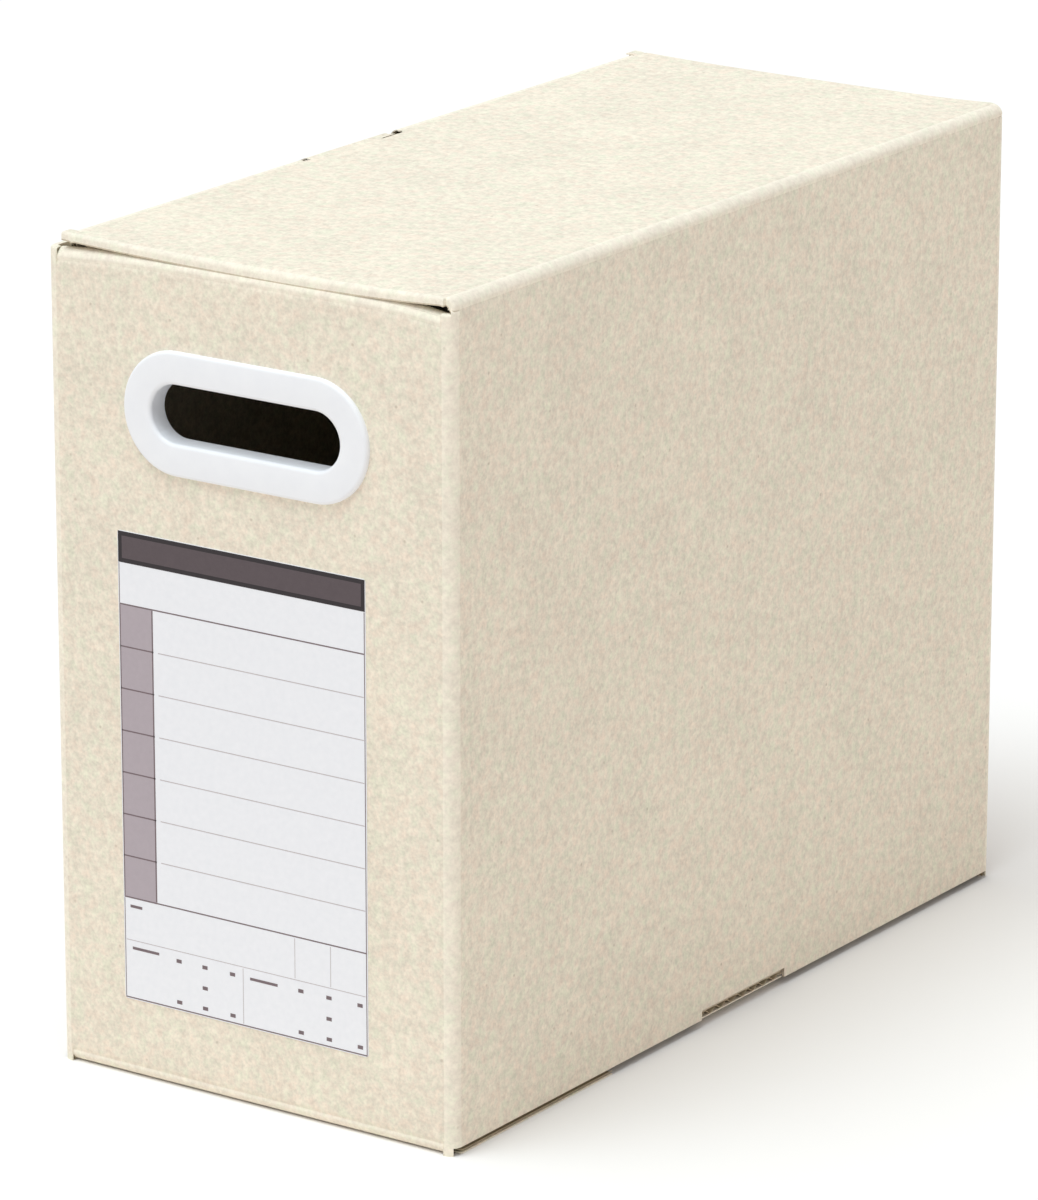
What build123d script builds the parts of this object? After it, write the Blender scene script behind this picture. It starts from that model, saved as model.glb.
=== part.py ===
from build123d import *
from math import degrees
import os

# File storage box of corrugated board with a hinged tuck-in lid, a hand hole and an index
# label. Millimetres, +Z up, front (the narrow side with the hand hole) towards -Y. The
# origin is the middle of the footprint, on the surface that the box stands on.
#
# The box is one die-cut blank, folded up: each panel of the blank is a piece here, and
# two panels that share a crease meet on the crease's 45 degree plane.

# Outside of the closed box
BOX_WIDTH = 152.0
BOX_DEPTH = 318.0
BOX_HEIGHT = 270.0

# Board and creases
BOARD = 2.6  # thickness of the corrugated board
CREASE_INSIDE = 1.2  # radius left inside a crease
CREASE_GAP = 0.2  # slit between the two halves of a crease that moves
FOLD_END = 0.4  # flat left between the end of a crease and the rounded corner
RAW_EDGE_INSET = 0.8  # a cut edge stops this far short of the face beside it
PANEL_PLAY = 0.4  # play of the base panel between the creases of the end walls

# Lid, its tuck flap and the pull tongue cut out of that flap
LID_GAP = 0.3  # between the lid and what it lies on
LID_END_INSET = 0.8  # lid's cut ends, short of the front and back faces
LEFT_RIM_DROP = 0.6  # top edge of the left wall below the lid's top face
TUCK_CLEARANCE = 3.0  # between the tuck flap and the left wall
TUCK_HEIGHT = 24.0
TUCK_END_PLAY = 0.5  # tuck flap's ends, clear of the rounded corners
TUCK_BEVEL = 9.0
TONGUE_WIDTH = 52.0
TONGUE_FROM_FRONT = 149.0  # middle of the tongue, behind the front face
TONGUE_TIP_INSET = 1.0  # tongue's tip, short of the left face
TONGUE_TIP_RADIUS = 2.5
TONGUE_PLAY = 1.5  # round the tongue in the left wall's notch

# Dust flaps under the lid, on the front and back walls
DUST_REACH = 50.0
DUST_SIDE_INSET = 12.0  # from the side faces
DUST_TAPER = 18.0  # what the flap narrows towards its tip, on the lid's hinge side
DUST_TIP_RADIUS = 6.0

# Base: two outer flaps, and the panel that locks into the right wall over them
BASE_FLAP_REACH = 87.0
FRONT_FLAP_INSET = 0.5  # front flap's sides, nearly flush with the side faces
REAR_FLAP_INSET = 8.0
BASE_FLANGE_HEIGHT = 38.0
BASE_FLANGE_INSET = 22.0
BASE_FLANGE_BEVEL = 10.0
LOCK_WIDTH = 48.0
LOCK_FROM_FRONT = 162.5  # middle of the lock tongue, behind the front face
LOCK_PLAY = 0.6

# Glued joint in the back left corner
GLUE_TAB_WIDTH = 34.0
GLUE_TAB_END_INSET = 14.0
GLUE_TAB_BEVEL = 12.0

# Hand-hole ring: moulded bezel outside, retaining ring inside
HAND_HOLE_DROP = 50.5  # middle of the hole below the top
HOLE_WIDTH = 71.0
HOLE_HEIGHT = 18.5
BEZEL_WIDTH = 92.0
BEZEL_HEIGHT = 39.0
BEZEL_FLANGE = 1.6
BEZEL_OUTER_ROUND = 1.1
BEZEL_MOUTH_ROUND = 1.3
BARREL_WALL = 1.6
BARREL_PLAY = 0.4  # barrel in the hole cut in the board
RETAINER_WIDTH = 88.0
RETAINER_HEIGHT = 35.5
RETAINER_THICKNESS = 1.8
RETAINER_ROUND = 0.8
RETAINER_PLAY = 0.15
LUG_LENGTH = 8.0
LUG_REACH = 0.7
LUG_DEPTH = 1.2
LUG_SPACING = 40.0

# Index label
LABEL_WIDTH = 94.0
LABEL_HEIGHT = 153.0
LABEL_DROP = 91.0  # its top edge below the top of the box
LABEL_SHIFT = -3.0  # its middle to the left of the front's middle
LABEL_THICKNESS = 0.2
LABEL_CORNER = 1.0

# Faces of the box; the bezel stands proud of the front, and the footprint counts it
FOLD_RADIUS = BOARD + CREASE_INSIDE
CREASE_END = FOLD_RADIUS + FOLD_END
LEFT = -BOX_WIDTH / 2
RIGHT = BOX_WIDTH / 2
FRONT = (BEZEL_FLANGE - BOX_DEPTH) / 2
BACK = FRONT + BOX_DEPTH
TOP = BOX_HEIGHT
LID_UNDERSIDE = TOP - BOARD
END_WALL_TOP = LID_UNDERSIDE - LID_GAP  # outside of the dust flaps' creases
LEFT_RIM = TOP - LEFT_RIM_DROP
LID_LEFT = LEFT + BOARD + TUCK_CLEARANCE
SIDE_BOTTOM = BOARD  # the side walls stand on the outer base flaps
BASE_TOP = SIDE_BOTTOM + BOARD
INNER_BACK = BACK - BOARD  # the left wall and its glue tab are inside the back wall
TONGUE_Y = FRONT + TONGUE_FROM_FRONT
LOCK_Y = FRONT + LOCK_FROM_FRONT
TUCK_SPAN = (FRONT + CREASE_END + TUCK_END_PLAY, INNER_BACK - CREASE_END - TUCK_END_PLAY)
TONGUE_SPAN = (TONGUE_Y - TONGUE_WIDTH / 2, TONGUE_Y + TONGUE_WIDTH / 2)
LOCK_SPAN = (LOCK_Y - LOCK_WIDTH / 2, LOCK_Y + LOCK_WIDTH / 2)
FLANGE_SPAN = (FRONT + BASE_FLANGE_INSET, INNER_BACK - BASE_FLANGE_INSET)
END_CREASE = (LEFT + CREASE_END, RIGHT - CREASE_END)  # creases of the front and back walls
HINGE_CREASE = (FRONT + CREASE_END, BACK - CREASE_END)
LEFT_CREASE = (FRONT + CREASE_END, INNER_BACK - CREASE_END)

X_NORMAL, Y_NORMAL, Z_NORMAL = (1, 0, 0), (0, 1, 0), (0, 0, 1)
X_BACKWARD, Y_BACKWARD, Z_BACKWARD = (-1, 0, 0), (0, -1, 0), (0, 0, -1)


def slab(x, y, z):
    """Flat board between the two limits given for each axis."""
    size = [limits[1] - limits[0] for limits in (x, y, z)]
    middle = [(limits[0] + limits[1]) / 2 for limits in (x, y, z)]
    return Pos(*middle) * Box(*size)


def fold_half(corner, own, other, start, end, gap=0.0):
    """Half of a rounded crease, from its own panel round to the 45 degree plane.

    corner lies on the sharp edge that the two outer faces would make. own and other are
    the outward normals of the half's own panel and of the panel across the crease.
    The crease runs from start to end along its axis.
    """
    own = Vector(*own)
    other = Vector(*other)
    axis = own.cross(other)
    along = Vector(abs(axis.X), abs(axis.Y), abs(axis.Z))
    centre = Vector(*corner) - (own + other) * FOLD_RADIUS + along * ((start + end) / 2)
    sweep = 45 - degrees(gap / 2 / FOLD_RADIUS)
    outer = CenterArc((0, 0), FOLD_RADIUS, 0, sweep)
    inner = CenterArc((0, 0), CREASE_INSIDE, 0, sweep)
    section = make_face([outer, inner, Line(outer @ 0, inner @ 0), Line(outer @ 1, inner @ 1)])
    return Plane(centre, x_dir=own, z_dir=axis) * extrude(section, (end - start) / 2, both=True)


def outline(points):
    """Flat face inside a closed line through the points."""
    return make_face(Polyline(*points, close=True))


def joined(pieces):
    """One solid from panels and crease halves that meet face to face."""
    whole = pieces[0]
    for piece in pieces[1:]:
        whole = whole + piece
    return whole


def corner_post(corner, own, other, bottom, top):
    """Rounded end of a wall: its half of an upright crease and the flat strip beside it."""
    x, y = corner
    curve = fold_half((x, y, 0), own, other, bottom, top)
    near = Vector(x, y, 0) - Vector(*other) * FOLD_RADIUS
    far = near - Vector(*other) * FOLD_END - Vector(*own) * BOARD
    strip = slab(sorted((near.X, far.X)), sorted((near.Y, far.Y)), (bottom, top))
    return [curve, strip]


# Walls

HAND_PLANE = Plane((0, FRONT, TOP - HAND_HOLE_DROP), x_dir=(1, 0, 0), z_dir=(0, -1, 0))
BARREL_WIDTH = HOLE_WIDTH + 2 * BARREL_WALL
BARREL_HEIGHT = HOLE_HEIGHT + 2 * BARREL_WALL


def stadium(width, height, start, end):
    """Round-ended bar square to the front wall, between two distances in front of its face."""
    return HAND_PLANE.offset(start) * extrude(SlotOverall(width, height), end - start)


def make_front_wall():
    """Front wall: creased to both sides, the front dust flap and the front base flap."""
    face = (FRONT, FRONT + BOARD)
    pieces = [
        slab(END_CREASE, face, (FOLD_RADIUS, END_WALL_TOP - FOLD_RADIUS)),
        fold_half((0, FRONT, END_WALL_TOP), Y_BACKWARD, Z_NORMAL, *END_CREASE, gap=CREASE_GAP),
        fold_half((0, FRONT, 0), Y_BACKWARD, Z_BACKWARD, *END_CREASE),
        *corner_post((LEFT, FRONT), Y_BACKWARD, X_BACKWARD, 0, LEFT_RIM),
        *corner_post((RIGHT, FRONT), Y_BACKWARD, X_NORMAL, 0, END_WALL_TOP),
    ]
    around = 2 * BARREL_PLAY
    hole = stadium(BARREL_WIDTH + around, BARREL_HEIGHT + around, -BOARD, 0)
    return joined(pieces) - hole


def make_back_wall():
    """Back wall: creased to the right wall, its left end cut over the left wall's corner."""
    face = (INNER_BACK, BACK)
    pieces = [
        slab(END_CREASE, face, (FOLD_RADIUS, END_WALL_TOP - FOLD_RADIUS)),
        fold_half((0, BACK, END_WALL_TOP), Y_NORMAL, Z_NORMAL, *END_CREASE, gap=CREASE_GAP),
        fold_half((0, BACK, 0), Y_NORMAL, Z_BACKWARD, *END_CREASE),
        *corner_post((RIGHT, BACK), Y_NORMAL, X_NORMAL, 0, END_WALL_TOP),
        slab((LEFT + RAW_EDGE_INSET, END_CREASE[0]), face, (0, END_WALL_TOP)),
    ]
    return joined(pieces)


def make_right_wall():
    """Right wall: carries the lid on its top crease and is notched for the lock tongue."""
    face = (RIGHT - BOARD, RIGHT)
    pieces = [
        slab(face, HINGE_CREASE, (SIDE_BOTTOM, TOP - FOLD_RADIUS)),
        fold_half((RIGHT, 0, TOP), X_NORMAL, Z_NORMAL, *HINGE_CREASE, gap=CREASE_GAP),
        *corner_post((RIGHT, FRONT), X_NORMAL, Y_BACKWARD, SIDE_BOTTOM, END_WALL_TOP),
        *corner_post((RIGHT, BACK), X_NORMAL, Y_NORMAL, SIDE_BOTTOM, END_WALL_TOP),
    ]
    length = (LOCK_SPAN[0] - LOCK_PLAY, LOCK_SPAN[1] + LOCK_PLAY)
    notch = slab(face, length, (SIDE_BOTTOM, BASE_TOP + LOCK_PLAY))
    return joined(pieces) - notch


def make_left_wall():
    """Left wall: cut top edge with a notch for the lid's tongue, base panel on its crease."""
    face = (LEFT, LEFT + BOARD)
    pieces = [
        slab(face, LEFT_CREASE, (SIDE_BOTTOM + FOLD_RADIUS, LEFT_RIM)),
        fold_half((LEFT, 0, SIDE_BOTTOM), X_BACKWARD, Z_BACKWARD, *LEFT_CREASE),
        *corner_post((LEFT, FRONT), X_BACKWARD, Y_BACKWARD, SIDE_BOTTOM, LEFT_RIM),
        *corner_post((LEFT, INNER_BACK), X_BACKWARD, Y_NORMAL, SIDE_BOTTOM, LEFT_RIM),
    ]
    length = (TONGUE_SPAN[0] - TONGUE_PLAY, TONGUE_SPAN[1] + TONGUE_PLAY)
    notch = slab(face, length, (LID_UNDERSIDE - LID_GAP, LEFT_RIM))
    return joined(pieces) - notch


def make_glue_tab():
    """Tab on the left wall's rear crease, glued to the inside of the back wall."""
    bottom = BASE_TOP + GLUE_TAB_END_INSET
    top = END_WALL_TOP - GLUE_TAB_END_INSET
    root = LEFT + FOLD_RADIUS
    tip = LEFT + GLUE_TAB_WIDTH
    face = outline([
        (root, bottom),
        (tip, bottom + GLUE_TAB_BEVEL),
        (tip, top - GLUE_TAB_BEVEL),
        (root, top),
    ])
    tab = Plane((0, INNER_BACK, 0), x_dir=(1, 0, 0), z_dir=(0, -1, 0)) * extrude(face, BOARD)
    curve = fold_half((LEFT, INNER_BACK, 0), Y_NORMAL, X_BACKWARD, bottom, top)
    return joined([tab, curve])


# Base

def make_base_flap(wall, outward, inset):
    """Outer base flap on the bottom crease of the front or back wall."""
    root = wall - outward * FOLD_RADIUS
    step = wall - outward * CREASE_END
    tip = wall - outward * BASE_FLAP_REACH
    pieces = [
        fold_half((0, wall, 0), Z_BACKWARD, (0, outward, 0), *END_CREASE),
        slab(END_CREASE, sorted((root, step)), (0, BOARD)),
        slab((LEFT + inset, RIGHT - inset), sorted((step, tip)), (0, BOARD)),
    ]
    return joined(pieces)


def make_base_panel():
    """Base panel from the left wall, over the outer flaps, with the tongue that locks it."""
    ends = (FRONT + FOLD_RADIUS + PANEL_PLAY, BACK - FOLD_RADIUS - PANEL_PLAY)
    right = RIGHT - BOARD
    corner = (right, 0, SIDE_BOTTOM)
    level = (SIDE_BOTTOM, BASE_TOP)
    pieces = [
        fold_half((LEFT, 0, SIDE_BOTTOM), Z_BACKWARD, X_BACKWARD, *LEFT_CREASE),
        slab((LEFT + FOLD_RADIUS, LEFT + CREASE_END), LEFT_CREASE, level),
        slab((LEFT + CREASE_END, right - CREASE_END), ends, level),
        slab((right - CREASE_END, right - FOLD_RADIUS), FLANGE_SPAN, level),
        fold_half(corner, Z_BACKWARD, X_NORMAL, FLANGE_SPAN[0], LOCK_SPAN[0]),
        fold_half(corner, Z_BACKWARD, X_NORMAL, LOCK_SPAN[1], FLANGE_SPAN[1]),
        slab((right - FOLD_RADIUS, RIGHT - RAW_EDGE_INSET), LOCK_SPAN, level),
    ]
    return joined(pieces)


def make_base_flange():
    """Flange of the base panel, turned up inside the right wall; the tongue is cut from it."""
    right = RIGHT - BOARD
    root = SIDE_BOTTOM + FOLD_RADIUS
    window = root + BOARD
    top = SIDE_BOTTOM + BASE_FLANGE_HEIGHT
    face = outline([
        (FLANGE_SPAN[0], root),
        (LOCK_SPAN[0], root),
        (LOCK_SPAN[0], window),
        (LOCK_SPAN[1], window),
        (LOCK_SPAN[1], root),
        (FLANGE_SPAN[1], root),
        (FLANGE_SPAN[1] - BASE_FLANGE_BEVEL, top),
        (FLANGE_SPAN[0] + BASE_FLANGE_BEVEL, top),
    ])
    corner = (right, 0, SIDE_BOTTOM)
    pieces = [
        Plane((right, 0, 0), x_dir=(0, 1, 0), z_dir=(1, 0, 0)) * extrude(face, -BOARD),
        fold_half(corner, X_NORMAL, Z_BACKWARD, FLANGE_SPAN[0], LOCK_SPAN[0]),
        fold_half(corner, X_NORMAL, Z_BACKWARD, LOCK_SPAN[1], FLANGE_SPAN[1]),
    ]
    return joined(pieces)


# Lid and what moves with it

def make_lid():
    """Lid on the right wall's crease; its pull tongue lies over the left wall."""
    ends = (FRONT + LID_END_INSET, BACK - LID_END_INSET)
    flat_left = LID_LEFT + FOLD_RADIUS
    flat_right = RIGHT - FOLD_RADIUS
    tip = LEFT + TONGUE_TIP_INSET
    face = outline([
        (flat_right, ends[0]),
        (flat_right, ends[1]),
        (LID_LEFT, ends[1]),
        (LID_LEFT, TUCK_SPAN[1]),
        (flat_left, TUCK_SPAN[1]),
        (flat_left, TONGUE_SPAN[1]),
        (tip, TONGUE_SPAN[1]),
        (tip, TONGUE_SPAN[0]),
        (flat_left, TONGUE_SPAN[0]),
        (flat_left, TUCK_SPAN[0]),
        (LID_LEFT, TUCK_SPAN[0]),
        (LID_LEFT, ends[0]),
    ])
    face = fillet(face.vertices().group_by(Axis.X)[0], TONGUE_TIP_RADIUS)
    corner = (LID_LEFT, 0, TOP)
    before, after = (TUCK_SPAN[0], TONGUE_SPAN[0]), (TONGUE_SPAN[1], TUCK_SPAN[1])
    pieces = [
        Pos(0, 0, LID_UNDERSIDE) * extrude(face, BOARD),
        fold_half((RIGHT, 0, TOP), Z_NORMAL, X_NORMAL, *HINGE_CREASE, gap=CREASE_GAP),
        fold_half(corner, Z_NORMAL, X_BACKWARD, *before, gap=CREASE_GAP),
        fold_half(corner, Z_NORMAL, X_BACKWARD, *after, gap=CREASE_GAP),
    ]
    return joined(pieces)


def make_tuck_flap():
    """Flap on the lid's left crease, inside the left wall; the lid's tongue is cut from it."""
    root = TOP - FOLD_RADIUS
    window = root - (LID_LEFT - LEFT - TONGUE_TIP_INSET)
    tip = TOP - TUCK_HEIGHT
    face = outline([
        (TUCK_SPAN[0], root),
        (TONGUE_SPAN[0], root),
        (TONGUE_SPAN[0], window),
        (TONGUE_SPAN[1], window),
        (TONGUE_SPAN[1], root),
        (TUCK_SPAN[1], root),
        (TUCK_SPAN[1] - TUCK_BEVEL, tip),
        (TUCK_SPAN[0] + TUCK_BEVEL, tip),
    ])
    corner = (LID_LEFT, 0, TOP)
    before, after = (TUCK_SPAN[0], TONGUE_SPAN[0]), (TONGUE_SPAN[1], TUCK_SPAN[1])
    pieces = [
        Plane((LID_LEFT, 0, 0), x_dir=(0, 1, 0), z_dir=(1, 0, 0)) * extrude(face, BOARD),
        fold_half(corner, X_BACKWARD, Z_NORMAL, *before, gap=CREASE_GAP),
        fold_half(corner, X_BACKWARD, Z_NORMAL, *after, gap=CREASE_GAP),
    ]
    return joined(pieces)


def make_dust_flap(wall, outward):
    """Dust flap under the lid, tapered so that it clears the lid as both swing up."""
    root = wall - outward * FOLD_RADIUS
    step = wall - outward * CREASE_END
    tip = wall - outward * DUST_REACH
    left = LEFT + DUST_SIDE_INSET
    right = RIGHT - DUST_SIDE_INSET
    face = outline([
        (left, step),
        (right, step),
        (right - DUST_TAPER, tip),
        (left, tip),
    ])
    tip_corners = face.vertices().group_by(Axis.Y)[0 if outward > 0 else -1]
    face = fillet(tip_corners, DUST_TIP_RADIUS)
    level = (END_WALL_TOP - BOARD, END_WALL_TOP)
    pieces = [
        Pos(0, 0, level[0]) * extrude(face, BOARD),
        slab(END_CREASE, sorted((root, step)), level),
        fold_half((0, wall, END_WALL_TOP), Z_NORMAL, (0, outward, 0), *END_CREASE, gap=CREASE_GAP),
    ]
    return joined(pieces)


# Hand-hole ring and label

def rounded_front(ring, radius, inner):
    """Ring with the outer or the inner edge of its front face rounded."""
    face = ring.faces().sort_by(Axis.Y)[0]
    wire = face.inner_wires()[0] if inner else face.outer_wire()
    return fillet(wire.edges(), radius)


def make_handle_bezel():
    """Moulded ring: rounded flange on the front, barrel through the board, four snap lugs."""
    lug_start = -BOARD - RETAINER_THICKNESS - RETAINER_PLAY
    end = lug_start - LUG_DEPTH
    ring = stadium(BEZEL_WIDTH, BEZEL_HEIGHT, 0, BEZEL_FLANGE)
    ring = ring + stadium(BARREL_WIDTH, BARREL_HEIGHT, end, 0)
    ring = ring - stadium(HOLE_WIDTH, HOLE_HEIGHT, end, BEZEL_FLANGE)
    ring = rounded_front(ring, BEZEL_OUTER_ROUND, inner=False)
    ring = rounded_front(ring, BEZEL_MOUTH_ROUND, inner=True)
    section = outline([(0, 0), (LUG_REACH, 0), (0, -LUG_DEPTH)])
    for side in (-1, 1):
        for place in (-1, 1):
            x = place * LUG_SPACING / 2 - side * LUG_LENGTH / 2
            z = TOP - HAND_HOLE_DROP + side * BARREL_HEIGHT / 2
            frame = Plane((x, FRONT - lug_start, z), x_dir=(0, 0, side), z_dir=(side, 0, 0))
            ring = ring + frame * extrude(section, LUG_LENGTH)
    return ring


def make_handle_retainer():
    """Flat ring inside the wall, pushed over the barrel until the lugs snap behind it."""
    around = 2 * RETAINER_PLAY
    start = -BOARD - RETAINER_THICKNESS
    ring = stadium(RETAINER_WIDTH, RETAINER_HEIGHT, start, -BOARD)
    face = ring.faces().sort_by(Axis.Y)[-1]
    ring = fillet(face.outer_wire().edges(), RETAINER_ROUND)
    return ring - stadium(BARREL_WIDTH + around, BARREL_HEIGHT + around, start, -BOARD)


def make_index_label():
    """Paper label glued to the front wall under the hand hole."""
    middle = TOP - LABEL_DROP - LABEL_HEIGHT / 2
    frame = Plane((LABEL_SHIFT, FRONT, middle), x_dir=(1, 0, 0), z_dir=(0, -1, 0))
    sheet = RectangleRounded(LABEL_WIDTH, LABEL_HEIGHT, LABEL_CORNER)
    return frame * extrude(sheet, LABEL_THICKNESS)


nodes = {
    "front_wall": make_front_wall(),
    "back_wall": make_back_wall(),
    "right_wall": make_right_wall(),
    "left_wall": make_left_wall(),
    "glue_tab": make_glue_tab(),
    "front_base_flap": make_base_flap(FRONT, -1, FRONT_FLAP_INSET),
    "rear_base_flap": make_base_flap(BACK, 1, REAR_FLAP_INSET),
    "base_panel": make_base_panel(),
    "base_flange": make_base_flange(),
    "lid": make_lid(),
    "tuck_flap": make_tuck_flap(),
    "front_dust_flap": make_dust_flap(FRONT, -1),
    "rear_dust_flap": make_dust_flap(BACK, 1),
    "handle_bezel": make_handle_bezel(),
    "handle_retainer": make_handle_retainer(),
    "index_label": make_index_label(),
}

os.makedirs("parts", exist_ok=True)
for name, shape in nodes.items():
    export_step(shape, f"parts/{name}.step")
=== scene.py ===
import bmesh
import bpy
import math
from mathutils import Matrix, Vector


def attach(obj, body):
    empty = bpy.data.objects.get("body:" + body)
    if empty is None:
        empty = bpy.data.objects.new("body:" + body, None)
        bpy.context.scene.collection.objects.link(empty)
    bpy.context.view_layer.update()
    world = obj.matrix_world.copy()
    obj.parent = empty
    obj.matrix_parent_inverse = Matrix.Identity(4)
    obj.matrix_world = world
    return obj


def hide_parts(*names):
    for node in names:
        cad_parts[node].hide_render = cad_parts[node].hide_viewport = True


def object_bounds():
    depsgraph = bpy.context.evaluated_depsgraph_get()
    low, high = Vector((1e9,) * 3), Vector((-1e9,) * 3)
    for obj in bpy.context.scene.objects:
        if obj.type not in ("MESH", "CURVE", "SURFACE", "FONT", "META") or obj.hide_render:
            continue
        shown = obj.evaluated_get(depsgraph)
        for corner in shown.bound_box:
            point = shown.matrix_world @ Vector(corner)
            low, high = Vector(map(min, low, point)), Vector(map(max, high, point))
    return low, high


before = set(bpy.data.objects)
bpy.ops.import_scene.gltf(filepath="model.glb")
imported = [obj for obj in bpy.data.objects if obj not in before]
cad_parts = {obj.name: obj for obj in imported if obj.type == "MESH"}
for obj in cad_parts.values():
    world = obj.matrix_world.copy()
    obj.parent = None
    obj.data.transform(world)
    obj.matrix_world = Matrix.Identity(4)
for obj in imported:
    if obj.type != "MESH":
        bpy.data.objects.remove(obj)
cad_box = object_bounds()

MM = 0.001
(LEFT, FRONT, FLOOR), (RIGHT, BACK, TOP) = [[value / MM for value in corner] for corner in cad_box]


# ---- Photograph's view: camera, white sweep and studio light -----------------------------
# The box stands alone on white, seen a little from above with its narrow front to the left.
# A broad soft key stands overhead; the lid is lightest and the long side darkest.

AZIMUTH, ELEVATION = math.radians(34.65), math.radians(16.93)
CAMERA_DISTANCE = 2192.6 * MM
PHOTO_WIDTH, FOCAL_PIXELS = 1038, 6745.3
AIM = Vector((-9.95, 0.8, 123.4)) * MM
WORLD_LIGHT, KEY_LIGHT, KEY_SPREAD = 0.585, 1.95, math.radians(40)
KEY_DIRECTION = Vector((-0.10, -0.30, 0.95))
FLOOR_SIZE = 14

away = Vector((
    -math.sin(AZIMUTH) * math.cos(ELEVATION),
    math.cos(AZIMUTH) * math.cos(ELEVATION),
    -math.sin(ELEVATION),
))
camera = bpy.data.objects.new("camera", bpy.data.cameras.new("camera"))
bpy.context.scene.collection.objects.link(camera)
camera.location = AIM - away * CAMERA_DISTANCE
camera.rotation_euler = away.to_track_quat("-Z", "Y").to_euler()
camera.data.sensor_fit = "HORIZONTAL"
camera.data.sensor_width = 36
camera.data.lens = FOCAL_PIXELS * camera.data.sensor_width / PHOTO_WIDTH
camera.data.clip_end = 50
bpy.context.scene.camera = camera
bpy.context.scene.view_settings.view_transform = "Standard"


def linear(code):
    """Linear colour of an sRGB hex value."""
    parts = [int(code[i:i + 2], 16) / 255 for i in (1, 3, 5)]
    return [p / 12.92 if p <= 0.04045 else ((p + 0.055) / 1.055) ** 2.4 for p in parts] + [1]


def add(tree, kind, links=(), **values):
    """New node: values go to its settings or its input sockets, links join outputs to inputs."""
    node = tree.nodes.new(kind)
    for key, value in values.items():
        if hasattr(node, key):
            setattr(node, key, value)
        else:
            name = key.replace("_", " ")
            socket = node.inputs[int(key[1:])] if key[1:].isdigit() else node.inputs[name]
            socket.default_value = value
    for output, name in links:
        tree.links.new(output, node.inputs[name])
    return node


def new_material(name):
    """Empty node material and its tree."""
    material = bpy.data.materials.new(name)
    material.use_nodes = True
    material.node_tree.nodes.clear()
    return material, material.node_tree


world = bpy.data.worlds.new("studio")
bpy.context.scene.world = world
world.use_nodes = True
tree = world.node_tree
tree.nodes.clear()
path = add(tree, "ShaderNodeLightPath")
seen = add(tree, "ShaderNodeMath", [(path.outputs["Is Camera Ray"], 0)], operation="ADD")
tree.links.new(path.outputs["Is Transmission Ray"], seen.inputs[1])
seen = add(
    tree, "ShaderNodeMath",
    [(seen.outputs[0], 0), (path.outputs["Is Glossy Ray"], 1)],
    operation="ADD", use_clamp=True,
)
light = add(tree, "ShaderNodeBackground", Color=linear("#FFFAF7"), Strength=WORLD_LIGHT)
white = add(tree, "ShaderNodeBackground", Color=linear("#FFFFFF"), Strength=1.0)
choice = add(
    tree, "ShaderNodeMixShader",
    [(seen.outputs[0], 0), (light.outputs[0], 1), (white.outputs[0], 2)],
)
add(tree, "ShaderNodeOutputWorld", [(choice.outputs[0], "Surface")])

key = bpy.data.objects.new("key_light", bpy.data.lights.new("key_light", "SUN"))
key.data.energy = KEY_LIGHT
key.data.color = linear("#F5FDFF")[:3]
key.data.angle = KEY_SPREAD
key.rotation_euler = (-KEY_DIRECTION).to_track_quat("-Z", "Y").to_euler()
bpy.context.scene.collection.objects.link(key)

material, tree = new_material("white_sweep")
path = add(tree, "ShaderNodeLightPath")
tint = add(tree, "ShaderNodeMix", [(path.outputs["Is Camera Ray"], "Factor")], data_type="RGBA")
tint.inputs[6].default_value = linear("#F4EDE7")
tint.inputs[7].default_value = linear("#F4F4F4")
shader = add(tree, "ShaderNodeBsdfDiffuse", [(tint.outputs[2], "Color")])
add(tree, "ShaderNodeOutputMaterial", [(shader.outputs[0], "Surface")])
bpy.ops.mesh.primitive_plane_add(size=FLOOR_SIZE, location=(0, 0, FLOOR * MM))
floor = bpy.context.object
floor.name = "floor"
floor.data.materials.append(material)


# ---- Corrugated board --------------------------------------------------------------------
# Single-wall board of recycled liner on both sides of a fluted sheet, die-cut and creased.
# The liners are mottled with short fibres of several shades; cut ends show the flutes.

BOARD = 2.6
LINER = 0.38
CREASE_INSIDE = 1.2
FOLD_RADIUS = BOARD + CREASE_INSIDE
FOLD_END = 0.4
CREASE_END = FOLD_RADIUS + FOLD_END
FLUTE_PITCH = 6.3
FLUTE_SHEET = 0.22
FLUTE_STEPS = 10
FLUTE_CRUSH = 0.85
GLUE_LINE = 0.02
CREASE_DENT = 0.28
DENT_WIDTH = 0.7
NEAR_CREASE = (0.0, 0.4, 0.8, 1.3, 2.2, 4.0)
CRUSHED = NEAR_CREASE[-1]
FLAT_FROM = 6
ARC_STEPS = 8
ALONG_PACE, ACROSS_PACE = 8.0, 12.0
PRESSED_ROUND = 0.9
PRESSED_DEPTH = BOARD - LINER - GLUE_LINE
PRESSED_INSETS = (4.4, 3.2, 2.2, 1.5)
PRESSED_TURNS = (0, 22.5, 45, 67.5, 90)
PRESSED_FLUTE_STOP = 0.45
PALE_COLUMNS = 6
THROUGH = 5


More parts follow.
